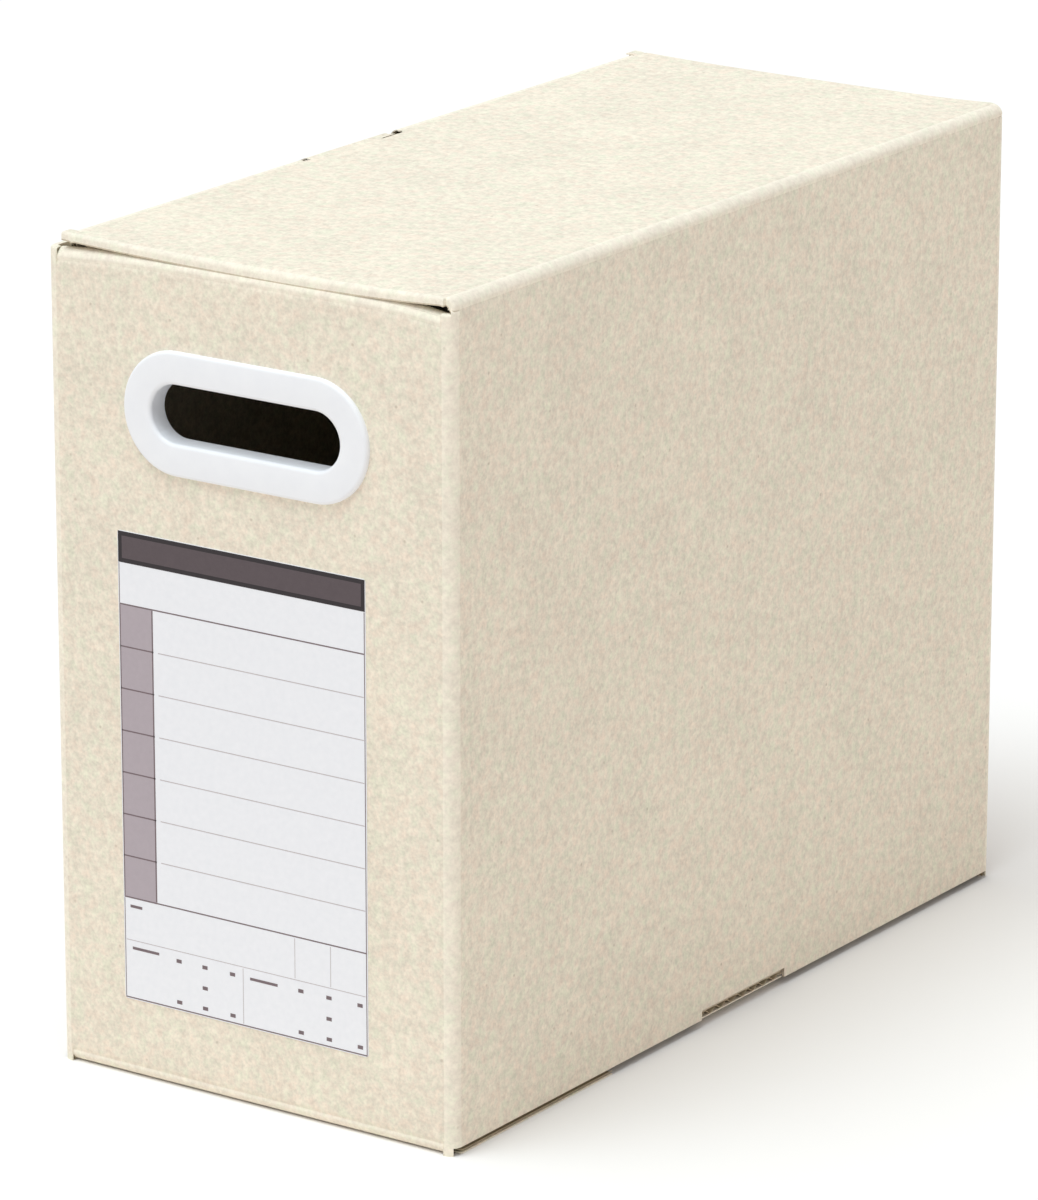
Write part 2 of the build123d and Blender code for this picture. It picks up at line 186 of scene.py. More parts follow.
def liner_paper(name, shades, mottle, speck):
    """Recycled liner: shades of pulp a few millimetres across, short fibres, some specks."""
    material, tree = new_material(name)
    place = add(tree, "ShaderNodeTexCoord").outputs["Object"]
    clumps = {"Detail": 2.0, "Roughness": 0.6}
    hue = add(
        tree, "ShaderNodeTexNoise", [(place, "Vector")],
        noise_dimensions="4D", W=3.7, Scale=1 / (3.4 * MM), Detail=3.0, Roughness=0.6,
    )
    blots = add(tree, "ShaderNodeTexNoise", [(place, "Vector")], Scale=1 / (2.6 * MM), **clumps)
    fibre = add(tree, "ShaderNodeTexNoise", [(place, "Vector")], Scale=1 / (1.1 * MM), **clumps)
    cloud = add(
        tree, "ShaderNodeTexNoise", [(place, "Vector")],
        Scale=1 / (22 * MM), Detail=2.0, Roughness=0.5,
    )
    ramp = add(tree, "ShaderNodeValToRGB", [(hue.outputs["Fac"], "Fac")])
    ramp.color_ramp.elements[0].position = 0.34
    ramp.color_ramp.elements[0].color = linear(shades[0])
    ramp.color_ramp.elements[1].position = 0.66
    ramp.color_ramp.elements[1].color = linear(shades[2])
    ramp.color_ramp.elements.new(0.5).color = linear(shades[1])
    level = add(
        tree, "ShaderNodeMath", [(fibre.outputs["Fac"], 0), (blots.outputs["Fac"], 2)],
        operation="MULTIPLY_ADD", _1=0.9,
    )
    level = add(
        tree, "ShaderNodeMath", [(cloud.outputs["Fac"], 0), (level.outputs[0], 2)],
        operation="MULTIPLY_ADD", _1=0.3,
    )
    span = add(
        tree, "ShaderNodeMapRange", [(level.outputs[0], "Value")],
        From_Min=0.8, From_Max=1.4, To_Min=1 - mottle, To_Max=1 + mottle,
    )
    tone = add(
        tree, "ShaderNodeVectorMath",
        [(ramp.outputs["Color"], 0), (span.outputs["Result"], "Scale")], operation="SCALE",
    )
    specks = add(
        tree, "ShaderNodeTexVoronoi", [(place, "Vector")], Scale=1 / (9 * MM), Randomness=1.0
    )
    dark = add(
        tree, "ShaderNodeMapRange", [(specks.outputs["Distance"], "Value")],
        From_Min=0.03, From_Max=0.075, To_Min=speck, To_Max=0.0,
    )
    colour = add(
        tree, "ShaderNodeMix",
        [(dark.outputs["Result"], "Factor"), (tone.outputs[0], 6)], data_type="RGBA",
    )
    colour.inputs[7].default_value = linear("#9A8C78")
    bump = add(
        tree, "ShaderNodeBump", [(level.outputs[0], "Height")],
        Strength=0.3, Distance=0.05 * MM,
    )
    shader = add(
        tree, "ShaderNodeBsdfPrincipled",
        [(colour.outputs[2], "Base Color"), (bump.outputs["Normal"], "Normal")],
        Roughness=0.88,
    )
    shader.inputs["Specular IOR Level"].default_value = 0.25
    add(tree, "ShaderNodeOutputMaterial", [(shader.outputs[0], "Surface")])
    return material


outer_liner = liner_paper(
    "outer_liner_recycled", ("#ECE0D0", "#EAE3D3", "#E6E5D2"), mottle=0.135, speck=0.35
)
inner_liner = liner_paper(
    "inner_liner_recycled", ("#D2C5B0", "#D3C8B3", "#CFC8B1"), mottle=0.15, speck=0.3
)
fluting = liner_paper(
    "fluting_paper", ("#B9A88E", "#BFB096", "#BBB194"), mottle=0.12, speck=0.2
)
# Lighter liner on creases and pressed edges: partly stretched liner, partly a painted highlight
# where the rounded crests catch the light.
creased_liner_with_highlight = liner_paper(
    "outer_liner_stretched_and_painted_highlight_at_creases", ("#F1E9DB", "#F2ECDD", "#EFEEDC"), mottle=0.10, speck=0.2
)
board_materials = [outer_liner, inner_liner, fluting, creased_liner_with_highlight]
OUTER, INNER, FLUTED, STRETCHED_AND_HIGHLIGHT = range(4)


def dent(distance, score=CREASE_DENT):
    """Depth of the scored line beside a crease, at a distance from its middle."""
    return score * math.exp(-(distance / DENT_WIDTH) ** 2)


def steps(start, end, pace):
    """Even values from start to end, about pace apart."""
    count = max(1, round(abs(end - start) / pace))
    return [start + (end - start) * i / count for i in range(count + 1)]


def panel_stations(
    corner, along, outward, length, start_fold=False, end_fold=False, score=CREASE_DENT
):
    """Stations (point, outward normal, crush) along a panel's section, from corner on.

    A folded end turns inward by 45 degrees about the crease's centre; length runs to the
    sharp corner. Crush is 1 where the flutes are pressed flat.
    """
    corner, along, outward = Vector(corner), Vector(along), Vector(outward)

    def flat(distance, crush=0.0):
        edge = min(
            abs(distance - FOLD_RADIUS) if start_fold else 99,
            abs(length - FOLD_RADIUS - distance) if end_fold else 99,
        )
        return corner + along * distance - outward * dent(edge, score), outward, crush

    def arc(distance, direction):
        centre = corner + along * distance - outward * FOLD_RADIUS
        turns = []
        for step in range(1, ARC_STEPS + 1):
            angle = math.radians(45) * step / ARC_STEPS
            normal = outward * math.cos(angle) + along * direction * math.sin(angle)
            reach = FOLD_RADIUS - dent(FOLD_RADIUS * angle, score)
            turns.append((centre + normal * reach, normal, 1.0))
        return turns

    first = FOLD_RADIUS if start_fold else 0.0
    last = length - FOLD_RADIUS if end_fold else length
    room = last - first - (CRUSHED if start_fold and end_fold else 0.0)
    near = [gap for gap in NEAR_CREASE if gap < room]
    stations = []
    if start_fold:
        stations += reversed(arc(first, -1))
        stations += [flat(first + gap, 1 - gap / CRUSHED) for gap in near]
    else:
        stations.append(flat(first))
    if last - first > 4 * FLAT_FROM:
        stations += [flat(d) for d in steps(first + FLAT_FROM, last - FLAT_FROM, ALONG_PACE)]
    if end_fold:
        stations += [flat(last - gap, 1 - gap / CRUSHED) for gap in reversed(near)]
        stations += arc(last, 1)
    else:
        stations.append(flat(last))
    return stations


def rolled_over(stations, along):
    """Stations of the outer liner where a die has pressed it over the panel's cut end."""
    point, outward, _ = stations[-1]
    centre = point - (along + outward) * PRESSED_ROUND
    rolled = stations[:-1]
    for angle in PRESSED_TURNS:
        turn = math.radians(angle)
        normal = outward * math.cos(turn) + along * math.sin(turn)
        rolled.append((centre + normal * PRESSED_ROUND, normal, 1.0))
    rolled.append((point - outward * PRESSED_DEPTH, along, 1.0))
    return rolled


def shell(mesh, top, bottom, slot, pale=None):
    """Closed sheet between two grids of points; pale(row, column) marks the lighter liner:
    stretched liner with a painted highlight.
    """
    rows, columns = len(top), len(top[0])
    upper = [[mesh.verts.new(p * MM) for p in row] for row in top]
    lower = [[mesh.verts.new(p * MM) for p in row] for row in bottom]

    def face(corners, i=None, j=None):
        made = mesh.faces.new(corners)
        made.material_index = STRETCHED_AND_HIGHLIGHT if pale and i is not None and pale(i, j) else slot
        made.smooth = True

    for i in range(rows - 1):
        for j in range(columns - 1):
            face((upper[i][j], upper[i + 1][j], upper[i + 1][j + 1], upper[i][j + 1]), i, j)
            face((lower[i][j], lower[i][j + 1], lower[i + 1][j + 1], lower[i + 1][j]))
    for i in range(rows - 1):
        face((upper[i][0], lower[i][0], lower[i + 1][0], upper[i + 1][0]))
        face((upper[i][-1], upper[i + 1][-1], lower[i + 1][-1], lower[i][-1]))
    for j in range(columns - 1):
        face((upper[0][j], upper[0][j + 1], lower[0][j + 1], lower[0][j]))
        face((upper[-1][j], lower[-1][j], lower[-1][j + 1], upper[-1][j + 1]))
    corners = [vertex for row in upper + lower for vertex in row]
    bmesh.ops.remove_doubles(mesh, verts=corners, dist=1e-7)


def lay_board(
    mesh, stations, across, start, end, limits=None, flutes="along", pressed=(0, 0), outer=None
):
    """Two liners and the fluted sheet between them, along the stations and across them.

    limits gives, for a station's point, how far the board reaches across there. pressed
    marks the low and the high edge where the outer liner is rolled over the flutes; outer
    holds the outer liner's own stations.
    """
    across = Vector(across)

    def grid(rows, columns, depth, trim=(0.0, 0.0)):
        made = []
        for i, (point, normal, crush) in enumerate(rows):
            low, high = limits(point) if limits else (start, end)
            row = []
            for column in columns:
                if isinstance(column, tuple):
                    side, inset, deep = column
                    reach = low + inset if side < 0 else high - inset
                    row.append(point - normal * deep + across * reach)
                else:
                    reach = min(max(column, low + trim[0]), high - trim[1])
                    row.append(point - normal * depth(i, column, crush) + across * reach)
            made.append(row)
        return made

    def edge(side, radius, straight):
        """Columns that carry the outer liner round a pressed edge, flat side first."""
        columns = [(side, inset, PRESSED_ROUND - radius) for inset in PRESSED_INSETS]
        for angle in PRESSED_TURNS:
            turn = math.radians(angle)
            inset = PRESSED_ROUND - radius * math.sin(turn)
            columns.append((side, inset, PRESSED_ROUND - radius * math.cos(turn)))
        return columns + [(side, straight, PRESSED_DEPTH)]

    coarse = steps(start, end, ACROSS_PACE)
    if limits:
        coarse = sorted(set(coarse) | {v for s in stations for v in limits(s[0])})
    faces = []
    for radius, straight in ((PRESSED_ROUND, 0.0), (PRESSED_ROUND - LINER, LINER)):
        columns = list(coarse)
        if pressed[0]:
            columns = list(reversed(edge(-1, radius, straight))) + columns
        if pressed[1]:
            columns = columns + edge(1, radius, straight)
        faces.append(columns)
    skin = outer or stations
    trim = (PRESSED_INSETS[0] * pressed[0], PRESSED_INSETS[0] * pressed[1])
    low_pale = PALE_COLUMNS * pressed[0]
    high_pale = len(faces[0]) - 1 - PALE_COLUMNS * pressed[1]

    # Creased arcs and pressed edges take the lighter liner: stretched liner and a painted
    # highlight.
    def pale(i, j):
        return skin[i][2] * skin[i + 1][2] == 1.0 or j < low_pale or j >= high_pale

    def sheet(rows, columns, depth, thickness, slot, trim=(0.0, 0.0), pale=None):
        top = grid(rows, columns[0], depth, trim)
        bottom = grid(rows, columns[1], lambda i, c, k: depth(i, c, k) + thickness, trim)
        shell(mesh, top, bottom, slot, pale)

    sheet(skin, faces, lambda i, c, k: 0.0, LINER, OUTER, trim, pale)
    sheet(stations, (coarse, coarse), lambda i, c, k: BOARD - LINER, LINER, INNER)

    rows = list(stations)
    if outer:
        tip, before = rows[-1][0], rows[-2][0]
        stop = tip.lerp(before, PRESSED_FLUTE_STOP / (tip - before).length)
        rows[-1] = (stop, *rows[-1][1:])
    walked = [0.0]
    if flutes == "across":
        dense = []
        for a, b in zip(rows, rows[1:]):
            parts = max(1, round((b[0] - a[0]).length / (FLUTE_PITCH / FLUTE_STEPS)))
            for part in range(parts):
                share = part / parts
                normal = a[1].lerp(b[1], share).normalized()
                dense.append((a[0].lerp(b[0], share), normal, a[2] + (b[2] - a[2]) * share))
        rows = dense + rows[-1:]
    for before, after in zip(rows, rows[1:]):
        walked.append(walked[-1] + (after[0] - before[0]).length)
    fine = steps(start, end, FLUTE_PITCH / FLUTE_STEPS) if flutes == "along" else coarse
    swing = (BOARD - 2 * LINER - FLUTE_SHEET) / 2 - GLUE_LINE

    def wave(i, c, crush):
        turn = 2 * math.pi * (c if flutes == "along" else walked[i]) / FLUTE_PITCH
        return (BOARD - FLUTE_SHEET) / 2 + swing * (1 - FLUTE_CRUSH * crush) * math.sin(turn)

    trim = (PRESSED_FLUTE_STOP * pressed[0], PRESSED_FLUTE_STOP * pressed[1])
    sheet(rows, (fine, fine), wave, FLUTE_SHEET, FLUTED, trim)


def board_piece(name, node, body, mesh, shape=None):
    """Board object from a bmesh, with its materials, on its body in place of the CAD node."""
    if shape:
        for vertex in mesh.verts:
            vertex.co.z += shape(*(vertex.co / MM)) * MM
    bmesh.ops.recalc_face_normals(mesh, faces=mesh.faces)
    data = bpy.data.meshes.new(name)
    mesh.to_mesh(data)
    mesh.free()
    data.set_sharp_from_angle(angle=math.radians(35))
    for material in board_materials:
        data.materials.append(material)
    piece = bpy.data.objects.new(name, data)
    bpy.context.scene.collection.objects.link(piece)
    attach(piece, body)
    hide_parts(node)
    return piece


def loose_sheets(mesh):
    """Groups of vertices, one for each closed sheet in the mesh."""
    mesh.verts.index_update()
    found = set()
    sheets = []
    for first in mesh.verts:
        if first in found:
            continue
        found.add(first)
        group = [first]
        for vertex in group:
            for edge in vertex.link_edges:
                other = edge.other_vert(vertex)
                if other not in found:
                    found.add(other)
                    group.append(other)
        sheets.append(group)
    return sheets


def die_cut(piece, axis, outline, start, end):
    """Cuts a straight opening along axis 0, 1 or 2 through each of the piece's sheets."""
    mesh = bmesh.new()
    loops = []
    for distance in (start, end):
        corners = [[a, b] for a, b in outline]
        for corner in corners:
            corner.insert(axis, distance)
        loops.append([mesh.verts.new(Vector(corner) * MM) for corner in corners])
    mesh.faces.new(loops[0])
    mesh.faces.new(list(reversed(loops[1])))
    for j in range(len(outline)):
        k = (j + 1) % len(outline)
        mesh.faces.new((loops[0][k], loops[0][j], loops[1][j], loops[1][k]))
    bmesh.ops.recalc_face_normals(mesh, faces=mesh.faces)
    data = bpy.data.meshes.new("die")
    mesh.to_mesh(data)
    mesh.free()
    die = bpy.data.objects.new("die", data)
    bpy.context.scene.collection.objects.link(die)
    low = [min(vertex.co[i] for vertex in data.vertices) for i in range(3)]
    high = [max(vertex.co[i] for vertex in data.vertices) for i in range(3)]

    def under_die(points):
        return all(
            min(p[i] for p in points) < high[i] and max(p[i] for p in points) > low[i]
            for i in range(3)
        )

    whole = bmesh.new()
    whole.from_mesh(piece.data)
    sheets = [sheet for sheet in loose_sheets(whole) if under_die([v.co for v in sheet])]
    cut = bmesh.new()
    for sheet in sheets:
        kept = {vertex.index for vertex in sheet}
        alone = whole.copy()
        others = [vertex for vertex in alone.verts if vertex.index not in kept]
        bmesh.ops.delete(alone, geom=others, context="VERTS")
        part = bpy.data.objects.new("sheet", piece.data.copy())
        alone.to_mesh(part.data)
        alone.free()
        bpy.context.scene.collection.objects.link(part)
        change = part.modifiers.new("cut", "BOOLEAN")
        change.operation = "DIFFERENCE"
        change.solver = "EXACT"
        change.object = die
        changed = part.evaluated_get(bpy.context.evaluated_depsgraph_get())
        cut.from_mesh(bpy.data.meshes.new_from_object(changed))
        bpy.data.objects.remove(part)
    bmesh.ops.delete(whole, geom=[vertex for sheet in sheets for vertex in sheet], context="VERTS")
    rest = piece.data.copy()
    whole.to_mesh(rest)
    whole.free()
    cut.from_mesh(rest)
    cut.to_mesh(piece.data)
    cut.free()
    bpy.data.objects.remove(die)


def oblong(a, b):
    """Corners of an oblong between two limits each way."""
    return [(a[0], b[0]), (a[1], b[0]), (a[1], b[1]), (a[0], b[1])]


def round_hole(a, b, radius):
    """Points round a circle."""
    turns = [math.radians(15 * step) for step in range(24)]
    return [(a + radius * math.cos(t), b + radius * math.sin(t)) for t in turns]


# ---- Walls -------------------------------------------------------------------------------
# Four upright panels with upright flutes, rounded at the corners by pressed creases. The
# back left corner is the maker's joint: a tab of the left wall glued inside the back wall.

LID_GAP = 0.3
END_WALL_TOP = TOP - BOARD - LID_GAP
CREST_FALL = 2.0
LEFT_RIM = END_WALL_TOP - CREST_FALL
BEZEL_PROUD = 1.6
FRONT += BEZEL_PROUD
SIDE_BOTTOM = BOARD
BASE_TOP = 2 * BOARD
INNER_BACK = BACK - BOARD
TONGUE = (FRONT + 123.0, FRONT + 166.3)
LOCK = (FRONT + 162.5 - 24.0, FRONT + 162.5 + 24.0)
LOCK_MARGIN = 0.6
HINGE_INSET = 1.8
HAND_HEIGHT = TOP - 50.5
X, Y, Z = Vector((1, 0, 0)), Vector((0, 1, 0)), Vector((0, 0, 1))
WALL_TOUCHES_LID = 14.0


def off_middle(x):
    """0 where the closed lid rests on the end walls, rising to 1 towards the box's corners."""
    half = WALL_TOUCHES_LID - LEFT - 6 if x < WALL_TOUCHES_LID else RIGHT - 4 - WALL_TOUCHES_LID
    return min(1.0, abs(x - WALL_TOUCHES_LID) / half) ** 4


def crest(x, y, z):
    """Top crease of an end wall, a little lower towards the corners."""
    return -CREST_FALL * off_middle(x) * min(1.0, max(0.0, (z - 245) / 15))


def corner_post(mesh, corner, own, other, bottom, top):
    """Rounded end of a wall, its flutes standing upright and its top end pressed."""
    start = Vector((*corner, 0)) - other * CREASE_END
    stations = panel_stations(start, other, own, CREASE_END, end_fold=True, score=0.0)
    lay_board(mesh, stations, Z, bottom, top, flutes="across", pressed=(0, 1))


mesh = bmesh.new()
stations = panel_stations((0, FRONT, 0), Z, -Y, END_WALL_TOP, start_fold=True, end_fold=True)
lay_board(mesh, stations, X, LEFT + CREASE_END, RIGHT - CREASE_END)
corner_post(mesh, (LEFT, FRONT), -Y, -X, 0, END_WALL_TOP)
corner_post(mesh, (RIGHT, FRONT), -Y, X, 0, END_WALL_TOP)
front_wall = board_piece("front_wall_board", "front_wall", "carcass", mesh, crest)

mesh = bmesh.new()
stations = panel_stations((0, BACK, 0), Z, Y, END_WALL_TOP, start_fold=True, end_fold=True)
lay_board(mesh, stations, X, LEFT + CREASE_END, RIGHT - CREASE_END)
corner_post(mesh, (RIGHT, BACK), Y, X, 0, END_WALL_TOP)
lay_board(mesh, panel_stations((0, BACK, 0), Z, Y, END_WALL_TOP), X, LEFT + 0.8, LEFT + CREASE_END)
board_piece("back_wall_board", "back_wall", "carcass", mesh, crest)

mesh = bmesh.new()
HINGE = (FRONT + HINGE_INSET, BACK - HINGE_INSET)
stations = panel_stations((RIGHT, 0, SIDE_BOTTOM), Z, X, TOP - SIDE_BOTTOM, end_fold=True)
lay_board(mesh, stations[:-ARC_STEPS], Y, FRONT + CREASE_END, BACK - CREASE_END)
lay_board(mesh, stations[-ARC_STEPS - 1:], Y, *HINGE, pressed=(1, 1))
corner_post(mesh, (RIGHT, FRONT), X, -Y, SIDE_BOTTOM, TOP - FOLD_RADIUS)
corner_post(mesh, (RIGHT, BACK), X, Y, SIDE_BOTTOM, TOP - FOLD_RADIUS)
right_wall = board_piece("right_wall_board", "right_wall", "carcass", mesh)
slot = (LOCK[0] - LOCK_MARGIN, LOCK[1] + LOCK_MARGIN)
die_cut(right_wall, 2, oblong((RIGHT - THROUGH, RIGHT + THROUGH), slot), 0, BASE_TOP + LOCK_MARGIN)

NOTCH_DEPTH, NOTCH_ROUND, NOTCH_MARGIN = 9.0, 5.0, 1.5
mesh = bmesh.new()
stations = panel_stations((LEFT, 0, SIDE_BOTTOM), Z, -X, LEFT_RIM - SIDE_BOTTOM, start_fold=True)
rolled = rolled_over(stations, Z)
lay_board(mesh, stations, Y, FRONT + CREASE_END, INNER_BACK - CREASE_END, outer=rolled)
corner_post(mesh, (LEFT, FRONT), -X, -Y, SIDE_BOTTOM, LEFT_RIM)
corner_post(mesh, (LEFT, INNER_BACK), -X, Y, SIDE_BOTTOM, LEFT_RIM)
left_wall = board_piece("left_wall_board", "left_wall", "carcass", mesh)
notch_ends = (TONGUE[0] - NOTCH_MARGIN, TONGUE[1] + NOTCH_MARGIN)
notch_bottom = LEFT_RIM - NOTCH_DEPTH
notch = [(notch_ends[1], TOP + THROUGH), (notch_ends[0], TOP + THROUGH)]
turns = [math.radians(15 * step) for step in range(7)]
for y, side in ((notch_ends[0], 1), (notch_ends[1], -1)):
    corner = [
        (y + side * NOTCH_ROUND * (1 - math.cos(t)), notch_bottom + NOTCH_ROUND * (1 - math.sin(t)))
        for t in turns
    ]
    notch += corner if side > 0 else list(reversed(corner))
die_cut(left_wall, 0, notch, LEFT - THROUGH, LEFT + THROUGH)

TAB_WIDTH, TAB_INSET, TAB_BEVEL = 34.0, 14.0, 12.0
TAB_ENDS = (BASE_TOP + TAB_INSET, END_WALL_TOP - TAB_INSET)


def tab_ends(point):
    """Height limits of the glue tab, bevelled towards its tip."""
    share = min(1, max(0, (point.x - LEFT - FOLD_RADIUS) / (TAB_WIDTH - FOLD_RADIUS)))
    return TAB_ENDS[0] + TAB_BEVEL * share, TAB_ENDS[1] - TAB_BEVEL * share


mesh = bmesh.new()
stations = panel_stations((LEFT, INNER_BACK, 0), X, Y, TAB_WIDTH, start_fold=True)
lay_board(mesh, stations, Z, *TAB_ENDS, limits=tab_ends, flutes="across")
board_piece("glue_tab_board", "glue_tab", "carcass", mesh)


# ---- Base --------------------------------------------------------------------------------
# Two outer flaps fold in from the end walls and the box stands on them. The base panel folds
# over them from the left wall, turns up inside the right wall and locks by a tongue.

BASE_REACH = 87.0
FRONT_FLAP_INSET, REAR_FLAP_INSET = 0.5, 8.0
for name, wall, outward, inset in (
    ("front_base_flap", FRONT, -1, FRONT_FLAP_INSET),
    ("rear_base_flap", BACK, 1, REAR_FLAP_INSET),
):
    mesh = bmesh.new()
    stations = panel_stations((0, wall, 0), -Y * outward, -Z, BASE_REACH, start_fold=True)
    root = wall - outward * CREASE_END

    def sides(point, root=root, outward=outward, inset=inset):
        past = (root - point.y) * outward > -0.01
        return (LEFT + inset, RIGHT - inset) if past else (LEFT + CREASE_END, RIGHT - CREASE_END)

    widest = min(inset, CREASE_END)
    lay_board(mesh, stations, X, LEFT + widest, RIGHT - widest, limits=sides)
    board_piece(name + "_board", name, "carcass", mesh)

PANEL_ENDS = (FRONT + CREASE_END, BACK - CREASE_END)
FLANGE_INSET, FLANGE_HEIGHT, FLANGE_BEVEL = 22.0, 38.0, 10.0
FLANGE = (FRONT + FLANGE_INSET, INNER_BACK - FLANGE_INSET)
LOCK_TIP = RIGHT - 0.8
WALL_INSIDE = RIGHT - BOARD


def base_ends(point):
    """How far the base panel reaches along the box, by its distance across it."""
    if point.x < LEFT + CREASE_END - 0.01:
        return FRONT + CREASE_END, INNER_BACK - CREASE_END
    if point.x > WALL_INSIDE - CREASE_END + 0.01:
        return FLANGE
    return PANEL_ENDS


mesh = bmesh.new()
stations = panel_stations(
    (LEFT, 0, SIDE_BOTTOM), X, -Z, WALL_INSIDE - LEFT, start_fold=True, end_fold=True
)
lay_board(mesh, stations, Y, PANEL_ENDS[0], PANEL_ENDS[1], limits=base_ends)
base_panel = board_piece("base_panel_board", "base_panel", "carcass", mesh)
lock_slot = oblong((WALL_INSIDE - FOLD_RADIUS, WALL_INSIDE + THROUGH), LOCK)
die_cut(base_panel, 2, lock_slot, 0, BASE_TOP + THROUGH)
mesh = bmesh.new()
ends = (WALL_INSIDE - FOLD_RADIUS, LOCK_TIP)
tongue = [(Vector((x, 0, SIDE_BOTTOM)), -Z, 0.0) for x in ends]
lay_board(mesh, tongue, Y, *LOCK)
board_piece("base_tongue_board", "base_panel", "carcass", mesh)


def flange_ends(point):
    """Length of the flange inside the right wall, bevelled towards its top."""
    share = (point.z - SIDE_BOTTOM - FOLD_RADIUS) / (FLANGE_HEIGHT - FOLD_RADIUS)
    share = min(1, max(0, share))
    return FLANGE[0] + FLANGE_BEVEL * share, FLANGE[1] - FLANGE_BEVEL * share


mesh = bmesh.new()
stations = panel_stations((WALL_INSIDE, 0, SIDE_BOTTOM), Z, X, FLANGE_HEIGHT, start_fold=True)
lay_board(mesh, stations, Y, *FLANGE, limits=flange_ends)
flange = board_piece("base_flange_board", "base_flange", "carcass", mesh)
lock_slot = oblong((WALL_INSIDE - THROUGH, WALL_INSIDE + THROUGH), LOCK)
die_cut(flange, 2, lock_slot, 0, SIDE_BOTTOM + FOLD_RADIUS + BOARD)


# ---- Lid ---------------------------------------------------------------------------------
# The lid swings on the right wall's top crease. A tongue cut out of its tuck flap bends down
# a little over the left wall, to pull it open. Round relief holes end the tongue's cuts, and
# the rear cut runs on into the lid as a short hook.

LID_LEFT = LEFT + BOARD + 3.0
TONGUE_ROOT = LID_LEFT + FOLD_RADIUS
TUCK_MARGIN, LID_INSET = 0.5, 0.8
TUCK = (FRONT + CREASE_END + TUCK_MARGIN, INNER_BACK - CREASE_END - TUCK_MARGIN)
LID_ENDS = (FRONT + LID_INSET, BACK - LID_INSET)
LID_SAG = 0.26
EDGE_CURL, CURL_LENGTH = 1.5, 4.4
FRONT_RELIEF, REAR_RELIEF = 3.0, 6.0
HOOK_LENGTH, HOOK_WIDTH = 10.0, 0.8
LID_CUT = (TOP - 8, TOP + THROUGH)


def lid_ends(point):
    """How far the lid reaches along the box: shorter at its two creases."""
    if point.x > RIGHT - FOLD_RADIUS + 0.01:
        return HINGE
    if point.x < LID_LEFT + FOLD_RADIUS - 0.01:
        return TUCK
    return LID_ENDS


def lid_sag(x, y, z):
    """The lid sags onto the end walls, and its pressed ends curl down in front of them."""
    in_from_end = min(y - LID_ENDS[0], LID_ENDS[1] - y)
    curl = max(0.0, 1 - in_from_end / CURL_LENGTH) ** 2
    return -LID_SAG * (1 - off_middle(x)) - EDGE_CURL * curl * (1 - off_middle(x) ** 0.5)


mesh = bmesh.new()
stations = panel_stations((RIGHT, 0, TOP), -X, Z, RIGHT - LID_LEFT, start_fold=True, end_fold=True)
lay_board(mesh, stations, Y, *LID_ENDS, limits=lid_ends, pressed=(1, 1))
lid = board_piece("lid_board", "lid", "lid", mesh, lid_sag)
gap = (TONGUE[0] - FRONT_RELIEF, TONGUE[1] + REAR_RELIEF)
die_cut(lid, 2, oblong((LEFT - THROUGH, TONGUE_ROOT), gap), *LID_CUT)
front_hole = (TONGUE[0] - FRONT_RELIEF / 2, FRONT_RELIEF / 2)
rear_hole = (TONGUE[1] + REAR_RELIEF / 2, REAR_RELIEF / 2)
for y, radius in (front_hole, rear_hole):
    die_cut(lid, 2, round_hole(TONGUE_ROOT, y, radius), *LID_CUT)
hook = (TONGUE_ROOT + REAR_RELIEF / 2 - HOOK_WIDTH, TONGUE_ROOT + REAR_RELIEF / 2)
die_cut(lid, 2, oblong(hook, (rear_hole[0] - HOOK_LENGTH, rear_hole[0])), *LID_CUT)

TONGUE_SLOPE = math.radians(24)
BEND_STEPS, BEND_PACE = 5, 0.35
BEND_CRUSH, TONGUE_CRUSH = 0.6, 0.3
TIP_ROUND, TIP_SPAN = 3.5, 2.5
mesh = bmesh.new()
stations = []
x, z = TONGUE_ROOT, TOP
for step in range(BEND_STEPS + 1):
    turn = TONGUE_SLOPE * step / BEND_STEPS
    normal = Vector((-math.sin(turn), 0, math.cos(turn)))
    stations.append((Vector((x, 0, z - dent(BEND_PACE * step))), normal, BEND_CRUSH))
    x, z = x - BEND_PACE * math.cos(turn), z - BEND_PACE * math.sin(turn)
bend_end, outward, _ = stations[-1]
down = Vector((-math.cos(TONGUE_SLOPE), 0, -math.sin(TONGUE_SLOPE)))
for from_left in (6.2, TIP_ROUND, 2.6, 1.9, 1.4, 1.0):
    reach = (bend_end.x - (LEFT + from_left)) / math.cos(TONGUE_SLOPE)
    stations.append((bend_end + down * reach, outward, TONGUE_CRUSH))


def tongue_ends(point):
    """Rounded tip of the pull tongue."""
    over = min(1.0, max(0.0, LEFT + TIP_ROUND - point.x) / TIP_SPAN)
    inset = TIP_SPAN * (1 - math.sqrt(1 - over * over))
    return TONGUE[0] + inset, TONGUE[1] - inset


lay_board(mesh, stations, Y, *TONGUE, limits=tongue_ends)
beside_crease = [*NEAR_CREASE[:-1], FOLD_RADIUS]
end = [(Vector((TONGUE_ROOT - d, 0, TOP - dent(d))), Z, 0.0) for d in beside_crease]
lay_board(mesh, end, Y, LID_ENDS[0], TUCK[0], pressed=(1, 0))
lay_board(mesh, end, Y, TUCK[1], LID_ENDS[1], pressed=(0, 1))
board_piece("lid_tongue_board", "lid", "lid", mesh, lid_sag)


# ---- Tuck flap ---------------------------------------------------------------------------
# Folds down from the lid's left crease and slides in behind the left wall. The tongue is cut
# out of its crease, which leaves a window there.

TUCK_HEIGHT, TUCK_BEVEL = 24.0, 9.0
TUCK_CUT = (LID_LEFT - THROUGH, LID_LEFT + THROUGH)


def tuck_ends(point):
    """Length of the tuck flap, bevelled towards its tip."""
    share = min(1, max(0, (TOP - FOLD_RADIUS - point.z) / (TUCK_HEIGHT - FOLD_RADIUS)))
    return TUCK[0] + TUCK_BEVEL * share, TUCK[1] - TUCK_BEVEL * share


